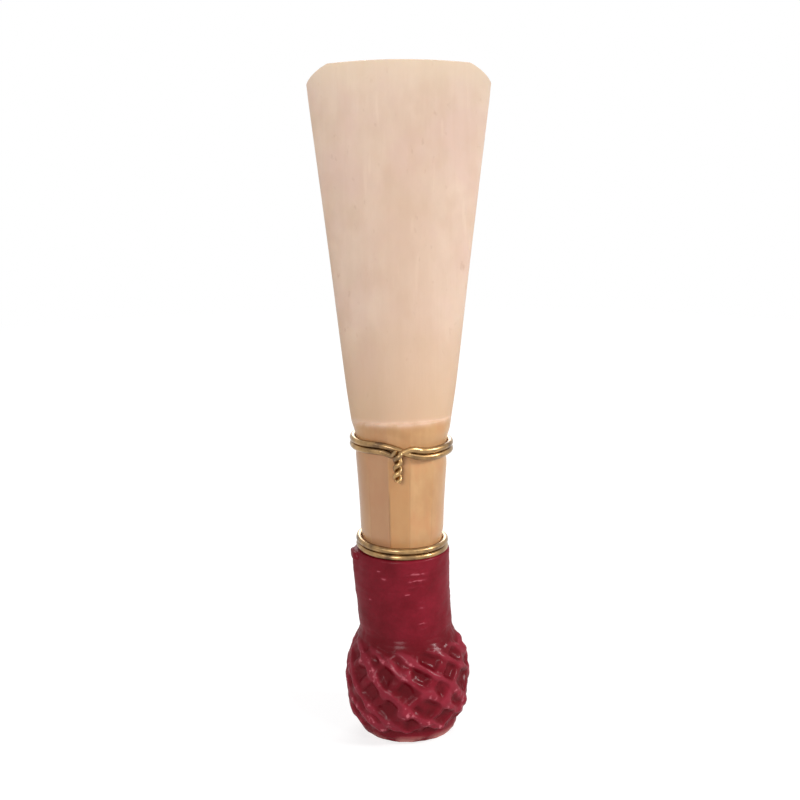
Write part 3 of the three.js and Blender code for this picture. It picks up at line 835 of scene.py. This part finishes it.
def blur(field, amount, row_step, column_step):
    """A Gaussian blur of a field whose columns run round the reed. Its rows are mirrored at the ends."""
    rows, columns = field.shape
    doubled = np.concatenate([field, field[::-1]])
    row_rates = np.fft.fftfreq(2 * rows)[:, None]
    column_rates = np.fft.fftfreq(columns)[None, :]
    row_part = (math.pi * row_rates * (amount / row_step)) ** 2
    column_part = (math.pi * column_rates * (amount / column_step)) ** 2
    softened = np.exp(-2 * row_part - 2 * column_part)
    return np.real(np.fft.ifft2(np.fft.fft2(doubled) * softened))[:rows]


def rib_height(number, across, beyond, rise, rows, row_share):
    """Height of one rib of threads side by side, for places so far across it and past its ends."""
    chance = np.random.default_rng(number)
    shift = lerp(*RIB_SHIFTS.get(number, (0, 0)), row_share)
    rib_wander = shift + RIB_WANDER * waves(RIB_WAVES, rows, number=number)
    height = np.zeros_like(across)
    for thread in range(RIB_THREADS):
        offset = (thread - (RIB_THREADS - 1) / 2) * THREAD_SPACING
        wander = rib_wander + THREAD_WANDER * waves(THREAD_WAVES, rows, number=number * RIB_THREADS + thread)
        lift = chance.uniform(-THREAD_LIFT, THREAD_LIFT)
        distance = np.sqrt((across - offset - wander) ** 2 + beyond ** 2)
        round_top = np.sqrt(np.clip(THREAD_RADIUS ** 2 - distance ** 2, 0, None))
        top = np.where(distance < THREAD_RADIUS, THREAD_BASE + rise + lift + round_top, 0)
        height = np.maximum(height, top)
    return height


def rib_field(along, angle, radius):
    """Height of the crossing ribs over the turban's core, for places given as distance along it and angle."""
    rows = along[:, :1]
    low, high = LATTICE_LOW_ALONG, along.max() - LATTICE_HIGH_BELOW_TOP
    up_share = (rows - low) / (high - low)
    step = math.pi * LATTICE_TURNS / LATTICE_CYCLES
    drift = math.radians(LATTICE_PHASE_DEGREES) + math.radians(LATTICE_TWIST_DEGREES) * (0.5 - up_share)
    progress = np.linspace(0, 1, TURN_CURVE_POINTS)
    risen = lerp(progress, (1 - np.cos(math.pi * progress)) / 2, TURN_ROUND_SHARE)
    row_share = np.interp(up_share, risen, progress)
    slope = step * np.gradient(row_share[:, 0], rows[:, 0])[:, None] * radius
    slant = 1 / np.sqrt(1 + slope ** 2)
    beyond = np.maximum(low - rows, 0) + np.maximum(rows - high, 0)
    over = 0
    for row in range(LATTICE_TURNS + 1):
        crossing = lerp(low, high, np.interp(row / LATTICE_TURNS, progress, risen))
        over = over + OVER_RISE * np.exp(-((rows - crossing) / OVER_REACH) ** 2)
    field = np.zeros_like(along)
    for number in range(2 * LATTICE_CYCLES):
        climbing = number % 2 == 0
        centre = step * (number + (row_share if climbing else 1 - row_share)) + drift
        across = way_round(angle, centre) * radius * slant
        rise = -over if climbing else over
        field = np.maximum(field, rib_height(number, across, beyond, rise, rows, row_share))
    return field


def lacquered_field(along, angle, radius):
    """The ribs' height as the lacquer leaves it: softened, with some of the hollows filled."""
    steps = (along[1, 0] - along[0, 0], 2 * math.pi * radius.max() / TURBAN_COLUMNS)
    field = blur(rib_field(along, angle, radius[:, None]), LACQUER_BLUR, *steps)
    x, y = np.cos(angle) * radius.max(), np.sin(angle) * radius.max()
    pooled = blur(field, LACQUER_POOL, *steps) - LACQUER_POOL_DROP
    pooled = pooled + LACQUER_POOL_WANDER * waves(POOL_WAVES, along, x, y)
    return blur(np.maximum(field, pooled), LACQUER_BLUR, *steps)


def with_ends(rows):
    """The rows of a skin with the first and last repeated, for the loops that close it to the tube."""
    return np.concatenate([rows[:1], rows, rows[-1:]])


def skin_piece(name, radius, height, angle, material, lean, replaced):
    """A closed skin round the tube: outer points from radius and height, closed to the tube at both ends."""
    rows, columns = radius.shape
    inside = np.full((1, columns), BUTT_DIAMETER / 2 + THREAD_OFF_TUBE)
    reach = np.concatenate([inside, radius, inside])
    turned = with_ends(angle)
    shift = np.concatenate([np.zeros(1), lean, np.zeros(1)])[:, None]
    points = np.stack([reach * np.cos(turned) + shift, reach * np.sin(turned), with_ends(height)], axis=-1)
    faces = loop_faces(rows + 2, columns)
    last = (rows + 1) * columns
    faces += [(last + k, last + (k + 1) % columns, (k + 1) % columns, k) for k in range(columns)]
    piece = new_piece(name, points.reshape(-1, 3), faces, material, SKIN_SHARP_DEGREES)
    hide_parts(*replaced)
    return piece


def make_turban(material):
    """One skin for the turban's core and its crossing ribs, with plain turns at the foot and shoulder."""
    rows, height, radius = turban_outline()
    angles = np.linspace(0, 2 * math.pi, TURBAN_COLUMNS, endpoint=False)
    along, angle = np.meshgrid(rows, angles, indexing="ij")
    field = lacquered_field(along, angle, radius)
    close_x, close_y = np.cos(angle) * radius[:, None], np.sin(angle) * radius[:, None]
    lumps = LACQUER_LUMP * waves(LUMP_WAVES, along, close_x, close_y)
    foot = smooth(between(height, FOOT_FROM, FOOT_TO))[:, None]
    shoulder = smooth(between(height, SHOULDER_FROM, SHOULDER_TO))[:, None]
    ribbed = (1 - shoulder) * (1 - foot)
    turns = np.abs(np.sin(math.pi * rows / PLAIN_PITCH))[:, None]
    offset = (field - RIB_HEIGHT) * ribbed + lumps
    offset = offset - (SHOULDER_SINK - SHOULDER_RIDGE * turns) * shoulder
    offset = offset - (FOOT_SINK - FOOT_RIDGE * turns) * foot
    offset = offset - FOOT_ROUND * rounding(rows / FOOT_ROUND)[:, None]
    outer_radius = radius[:, None] + offset * np.gradient(height, rows)[:, None]
    outer_height = height[:, None] - offset * np.gradient(radius, rows)[:, None]
    replaced = ["turban_core", "turban_lattice"]
    piece = skin_piece("turban", outer_radius, outer_height, angle, material, lean_at(height), replaced)
    # Painted shade: in the open hollows between the ribs, and in a band over the shoulder.
    shoulder_shade = np.sin(math.pi * between(height, SHOULDER_SHADE_FROM, SHOULDER_SHADE_TO))[:, None]
    hollow_shade = np.maximum(between(field, HOLLOW_SHADE_FROM, HOLLOW_SHADE_TO) * ribbed, SHOULDER_SHADE_SHARE * shoulder_shade)
    add_attribute(piece, "hollow_shade", with_ends(hollow_shade))
    # The crests, where the painted sheen and painted highlights go.
    add_attribute(piece, "crest_highlight", with_ends(between(field, CREST_FROM, CREST_TO) * ribbed))


def neck_wear_and_highlight_at(height, angle):
    """How much of the neck's lacquer is worn off, which also places the painted highlights: 1 in the middle
    of each worn spot.
    """
    wear_and_highlight = np.zeros_like(height)
    for degrees, middle, spread in NECK_WORN_AND_HIGHLIGHT_SPOTS:
        around = way_round(angle, math.radians(degrees - 90))
        reach = np.hypot(around * NECK_RADIUS, height - middle) / spread
        wear_and_highlight = np.maximum(wear_and_highlight, np.exp(-reach ** NECK_SPOT_POWER))
    return wear_and_highlight


def knot_tail_at(height, angle):
    """The thread's covered end below the knot: a soft swelling that runs down the winding."""
    away = way_round(angle, math.radians(KNOT_DEGREES)) * NECK_RADIUS
    down = (KNOT_HEIGHT - height) / KNOT_TAIL_LENGTH
    return KNOT_TAIL_THICKNESS * np.exp(-(away / KNOT_TAIL_HALF_WIDTH) ** 2) * (1 - smooth(down))


def make_neck(material):
    """Close turns between the turban and the second wire, uneven under the lacquer."""
    heights = np.linspace(NECK_BOTTOM, NECK_TOP, NECK_ROWS)
    angles = np.linspace(0, 2 * math.pi, NECK_COLUMNS, endpoint=False)
    height, angle = np.meshgrid(heights, angles, indexing="ij")
    x, y = NECK_RADIUS * np.cos(angle), NECK_RADIUS * np.sin(angle)
    patch = (1 + np.tanh(waves(NECK_PATCH_WAVES, x, y, height))) / 2
    wander = NECK_WANDER_TURNS * waves(NECK_WANDER_WAVES, x, y, height)
    ridge = np.abs(np.sin(math.pi * (height / NECK_PITCH - angle / (2 * math.pi) + wander)))
    wear_and_highlight = neck_wear_and_highlight_at(height, angle)
    ridge_height = NECK_RIDGE * lerp(NECK_RIDGE_LEAST_SHARE, 1, patch) + NECK_WORN_RIDGE * wear_and_highlight
    radius = NECK_RADIUS + ridge_height * ridge + NECK_SWELL * waves(NECK_SWELL_WAVES, x, y, height)
    radius = radius - NECK_FOOT_SINK * smooth(between(height, NECK_FOOT, NECK_BOTTOM))
    radius = radius - NECK_TOP_ROUND * rounding((NECK_TOP - height) / NECK_TOP_ROUND)
    radius = radius + knot_tail_at(height, angle)
    piece = skin_piece("neck_winding", radius, height, angle, material, lean_at(heights), ["neck_winding"])
    # Painted highlights: pale dashes along the crests of the turns in the worn spots.
    dashes = 1 + waves(NECK_DASH_WAVES, x, y, NECK_DASH_FLATNESS * height)
    crest_highlight = NECK_HIGHLIGHT_SHARE * wear_and_highlight * ridge ** NECK_CREST_POWER * smooth(NECK_DASH_SHARE * dashes)
    add_attribute(piece, "crest_highlight", with_ends(crest_highlight))


def rounded(value):
    """A sine or cosine pushed outwards, so that an ellipsoid made from it gets flatter sides."""
    return np.sign(value) * np.abs(value) ** KNOT_SQUARENESS


def make_knot(material):
    """A small squared lump, grooved by its last turns, where the winding is tied off."""
    polars = np.linspace(0, math.pi, KNOT_ROWS + 2)[1:-1]
    angles = np.linspace(0, 2 * math.pi, KNOT_COLUMNS, endpoint=False)
    polar, angle = np.meshgrid(polars, angles, indexing="ij")
    groove = np.abs(np.cos(KNOT_TURNS * polar + angle / 2)) ** KNOT_GROOVE_POWER
    wrap = 1 - KNOT_GROOVE_SHARE * groove
    width, depth, rise = (size / 2 for size in KNOT_SIZE)
    local = np.stack([
        depth * wrap * rounded(np.sin(polar)) * rounded(np.cos(angle)),
        width * wrap * rounded(np.sin(polar)) * rounded(np.sin(angle)),
        rise * rounded(np.cos(polar)),
    ], axis=-1).reshape(-1, 3)
    turn = math.radians(KNOT_DEGREES)
    spin = np.array([[math.cos(turn), -math.sin(turn), 0], [math.sin(turn), math.cos(turn), 0], [0, 0, 1]])
    points = local @ spin.T + np.array([KNOT_OUT * math.cos(turn), KNOT_OUT * math.sin(turn), KNOT_HEIGHT])
    last = (KNOT_ROWS - 1) * KNOT_COLUMNS
    caps = [tuple(range(KNOT_COLUMNS)), tuple(range(last + KNOT_COLUMNS - 1, last - 1, -1))]
    faces = loop_faces(KNOT_ROWS, KNOT_COLUMNS) + caps
    piece = new_piece("finishing_knot", points, faces, material)
    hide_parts("finishing_knot")


# Materials


def srgb(colour):
    """A colour as it is written in 0 to 255, made linear."""
    def linear(value):
        value = value / 255
        return value / 12.92 if value <= 0.04045 else ((value + 0.055) / 1.055) ** 2.4
    return (*(linear(value) for value in colour), 1)


def add_node(tree, kind, settings=None, inputs=None):
    node = tree.nodes.new(kind)
    for name, value in (settings or {}).items():
        setattr(node, name, value)
    for name, value in (inputs or {}).items():
        socket = node.inputs[name]
        if isinstance(value, bpy.types.NodeSocket):
            tree.links.new(value, socket)
        else:
            socket.default_value = value
    return node


def new_material(name, finish):
    material = bpy.data.materials.new(name)
    material.use_nodes = True
    shader = material.node_tree.nodes["Principled BSDF"]
    for socket, value in finish.items():
        shader.inputs[socket].default_value = value
    return material, material.node_tree, shader


def noise(tree, scale, detail, roughness):
    """Noise over the object's own coordinates, which are multiplied by a scale for each axis."""
    place = add_node(tree, "ShaderNodeTexCoord").outputs["Object"]
    stretched = add_node(tree, "ShaderNodeMapping", inputs={"Vector": place, "Scale": scale}).outputs[0]
    inputs = {"Vector": stretched, "Scale": 1, "Detail": detail, "Roughness": roughness}
    return add_node(tree, "ShaderNodeTexNoise", inputs=inputs).outputs["Fac"]


def marks_of(tree, patterns, attributes=()):
    """A material's patterns and its mesh's attributes, by name."""
    marks = {name: noise(tree, *settings) for name, settings in patterns.items()}
    for name in attributes:
        marks[name] = add_node(tree, "ShaderNodeAttribute", {"attribute_name": name}).outputs["Fac"]
    return marks


def place_axes(tree):
    place = add_node(tree, "ShaderNodeTexCoord").outputs["Object"]
    return add_node(tree, "ShaderNodeSeparateXYZ", inputs={"Vector": place}).outputs


def maths(tree, operation, *values):
    return add_node(tree, "ShaderNodeMath", {"operation": operation}, dict(enumerate(values))).outputs[0]


def remap(tree, value, low, high, to_low=0, to_high=1):
    inputs = {"Value": value, "From Min": low, "From Max": high, "To Min": to_low, "To Max": to_high}
    return add_node(tree, "ShaderNodeMapRange", inputs=inputs).outputs["Result"]


def mix_colour(tree, share, first, second):
    inputs = {0: share, 6: first, 7: second}
    return add_node(tree, "ShaderNodeMix", {"data_type": "RGBA"}, inputs).outputs[2]


def mix_value(tree, share, first, second):
    inputs = {0: share, 2: first, 3: second}
    return add_node(tree, "ShaderNodeMix", {"data_type": "FLOAT"}, inputs).outputs[0]


def coated(tree, colour, coats, marks):
    """A colour under coats of others, each one where its pattern is strong."""
    colour = srgb(colour)
    for name, start, full, share, coat in coats:
        colour = mix_colour(tree, remap(tree, marks[name], start, full, 0, share), colour, srgb(coat))
    return colour


def add_bump(tree, shader, height, strength, depth):
    inputs = {"Height": height, "Strength": strength, "Distance": depth}
    bump = add_node(tree, "ShaderNodeBump", inputs=inputs).outputs[0]
    tree.links.new(bump, shader.inputs["Normal"])
    return bump


def scraped_colour(tree, marks):
    """Softly mottled pale cane, with the colour changes along the blades and painted shade across their
    middle.
    """
    axes = place_axes(tree)
    height = axes["Z"]
    # Painted shade down the middle of the blades.
    spine_end, spine_start = (REED_LENGTH - below for below in SPINE_END_BELOW_TIP)
    along_spine = remap(tree, height, spine_start, spine_end, SPINE_SHADE_SHARE, 0)
    across_spine = remap(tree, maths(tree, "ABSOLUTE", axes["X"]), 0, SPINE_HALF_WIDTH, 1, 0)
    spine_shade = maths(tree, "MULTIPLY", across_spine, along_spine)
    near_collar = remap(tree, height, TUBE_LENGTH, TUBE_LENGTH + COLLAR_GLOW, COLLAR_GLOW_SHARE, 0)
    near_tip = remap(tree, height, REED_LENGTH - TIP_GLOW, REED_LENGTH, 0, TIP_GLOW_SHARE)
    colour = coated(tree, SCRAPED_COLOUR, SCRAPED_COATS, marks)
    colour = mix_colour(tree, near_collar, colour, srgb(COLLAR_GLOW_COLOUR))
    colour = mix_colour(tree, spine_shade, colour, srgb(SPINE_SHADE_COLOUR))
    return mix_colour(tree, near_tip, colour, srgb(TIP_GLOW_COLOUR))


def cane_material():
    """Pale scraped cane above, waxy golden bark below, and a raw pale edge between them."""
    material, tree, shader = new_material("cane", CANE_FINISH)
    marks = marks_of(tree, CANE_PATTERNS, ("bark", "ridge", "strip_tone_and_shade", "score_shade"))
    bark = marks["bark"]
    golden = coated(tree, BARK_COLOUR, BARK_COATS, marks)
    colour = mix_colour(tree, bark, scraped_colour(tree, marks), golden)
    ragged = maths(tree, "MULTIPLY", marks["ridge"], remap(tree, marks["breaks"], *RAW_EDGE_BREAKS))
    colour = mix_colour(tree, ragged, colour, srgb(RAW_EDGE_COLOUR))
    tree.links.new(colour, shader.inputs["Base Color"])
    tree.links.new(mix_value(tree, bark, *CANE_ROUGHNESS), shader.inputs["Roughness"])
    add_bump(tree, shader, marks["fibres"], mix_value(tree, bark, *CANE_BUMP_STRENGTH), CANE_BUMP_DEPTH)
    return material


def brass_material():
    """Drawn brass with a little brown tarnish and a fine grain."""
    material, tree, shader = new_material("brass", BRASS_FINISH)
    marks = marks_of(tree, BRASS_PATTERNS)
    tree.links.new(coated(tree, BRASS_COLOUR, BRASS_COATS, marks), shader.inputs["Base Color"])
    tree.links.new(remap(tree, marks["tarnish"], *BRASS_ROUGHNESS), shader.inputs["Roughness"])
    add_bump(tree, shader, marks["grain"], BRASS_BUMP_STRENGTH, BRASS_BUMP_DEPTH)
    return material


def thread_material():
    """Crimson thread under uneven clear lacquer, with painted shade in the hollows and over the shoulder,
    painted sheen and highlight dashes on the crests, and pale patches at the foot.
    """
    material, tree, shader = new_material("lacquered_thread", THREAD_FINISH)
    marks = marks_of(tree, THREAD_PATTERNS, ("hollow_shade", "crest_highlight"))
    height = place_axes(tree)["Z"]
    colour = coated(tree, THREAD_COLOUR, THREAD_COATS, marks)
    on_neck = remap(tree, height, NECK_BOTTOM, NECK_FOOT)
    # Painted highlights: pale dashes on the crests, everywhere the neck's crests are marked.
    dashes = maths(tree, "MAXIMUM", remap(tree, marks["dashes"], *HIGHLIGHT_DASHES), on_neck)
    crest_highlight_share = maths(tree, "MULTIPLY", remap(tree, marks["crest_highlight"], *CREST_HIGHLIGHT), dashes)
    colour = mix_colour(tree, crest_highlight_share, colour, srgb(CREST_HIGHLIGHT_COLOUR))
    # Paler patches low on the turban's foot, fading out upwards.
    foot = remap(tree, height, PALE_FOOT_START_SHARE * PALE_FOOT, PALE_FOOT, PALE_FOOT_SHARE, 0)
    pale_foot = maths(tree, "MULTIPLY", foot, remap(tree, marks["patches"], *PALE_FOOT_PATCHES))
    colour = mix_colour(tree, pale_foot, colour, srgb(PALE_FOOT_COLOUR))
    tree.links.new(colour, shader.inputs["Base Color"])
    bump = add_bump(tree, shader, marks["lumps"], THREAD_BUMP_STRENGTH, THREAD_BUMP_DEPTH)
    tree.links.new(bump, shader.inputs["Coat Normal"])
    return material


# Stage


def camera_ray_share(tree):
    """1 for what the camera, a mirror or glass sees, and 0 for the light that falls on the object."""
    path = add_node(tree, "ShaderNodeLightPath")
    seen = path.outputs["Is Camera Ray"]
    for name in ("Is Glossy Ray", "Is Transmission Ray"):
        seen = maths(tree, "MAXIMUM", seen, path.outputs[name])
    return seen


def make_world():
    world = bpy.data.worlds.new("studio")
    bpy.context.scene.world = world
    world.use_nodes = True
    tree = world.node_tree
    background = tree.nodes["Background"]
    background.inputs["Color"].default_value = WHITE
    strength = mix_value(tree, camera_ray_share(tree), WORLD_STRENGTH, WHITE_STRENGTH)
    tree.links.new(strength, background.inputs["Strength"])


def make_floor():
    """A pale floor that keeps the reed's shadow near it and turns plain white further out."""
    mesh = bpy.data.meshes.new("floor")
    half = FLOOR_HALF
    corners = [(-half, -half, 0), (half, -half, 0), (half, half, 0), (-half, half, 0)]
    mesh.from_pydata(corners, [], [tuple(range(len(corners)))])
    floor = bpy.data.objects.new("floor", mesh)
    bpy.context.scene.collection.objects.link(floor)
    material, tree, shader = new_material("floor", FLOOR_FINISH)
    place = add_node(tree, "ShaderNodeTexCoord").outputs["Object"]
    distance = add_node(tree, "ShaderNodeVectorMath", {"operation": "LENGTH"}, {0: place}).outputs["Value"]
    far = remap(tree, distance, FLOOR_FADE_FROM, FLOOR_FADE_TO)
    tree.links.new(mix_colour(tree, far, FLOOR_COLOUR, BLACK), shader.inputs["Base Color"])
    shader.inputs["Emission Color"].default_value = WHITE
    seen = mix_value(tree, far, FLOOR_SEEN_STRENGTH, WHITE_STRENGTH)
    glow = mix_value(tree, camera_ray_share(tree), FLOOR_STRENGTH, seen)
    tree.links.new(glow, shader.inputs["Emission Strength"])
    mesh.materials.append(material)


def make_lights():
    """The key lamp on the right, larger ones in front and behind, and two small ones for gloss."""
    target = Vector((0, 0, TUBE_LENGTH))
    for name, place, size, power in LAMPS:
        lamp = bpy.data.lights.new(name, "AREA")
        lamp.shape = "DISK"
        lamp.size = size
        lamp.energy = power
        light = bpy.data.objects.new(name, lamp)
        light.location = place
        light.rotation_euler = (target - Vector(place)).to_track_quat("-Z", "Y").to_euler()
        bpy.context.scene.collection.objects.link(light)


def make_camera():
    camera = bpy.data.cameras.new("camera")
    camera.sensor_width = SENSOR_WIDTH
    camera.lens = FOCAL_PIXELS / FRAME_PIXELS * SENSOR_WIDTH
    camera.shift_x = -(CENTRE_PIXELS[0] - FRAME_PIXELS / 2) / FRAME_PIXELS
    camera.shift_y = (CENTRE_PIXELS[1] - FRAME_PIXELS / 2) / FRAME_PIXELS
    camera.clip_start, camera.clip_end = CAMERA_CLIP
    viewer = bpy.data.objects.new("camera", camera)
    bpy.context.scene.collection.objects.link(viewer)
    pitch = Matrix.Rotation(math.radians(90 - CAMERA_PITCH_DEGREES), 4, "X")
    roll = Matrix.Rotation(math.radians(CAMERA_ROLL_DEGREES), 4, "Z")
    place = Matrix.Translation((0, -CAMERA_DISTANCE, CAMERA_HEIGHT))
    viewer.matrix_world = place @ pitch @ roll
    bpy.context.scene.camera = viewer


def main():
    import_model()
    make_camera()
    make_world()
    make_floor()
    make_lights()
    cane = cane_material()
    make_cane("front_cane", cane, False)
    make_cane("back_cane", cane, True)
    make_wires(brass_material())
    thread = thread_material()
    make_turban(thread)
    make_neck(thread)
    make_knot(thread)
    bpy.context.scene.view_settings.view_transform = "Standard"


main()
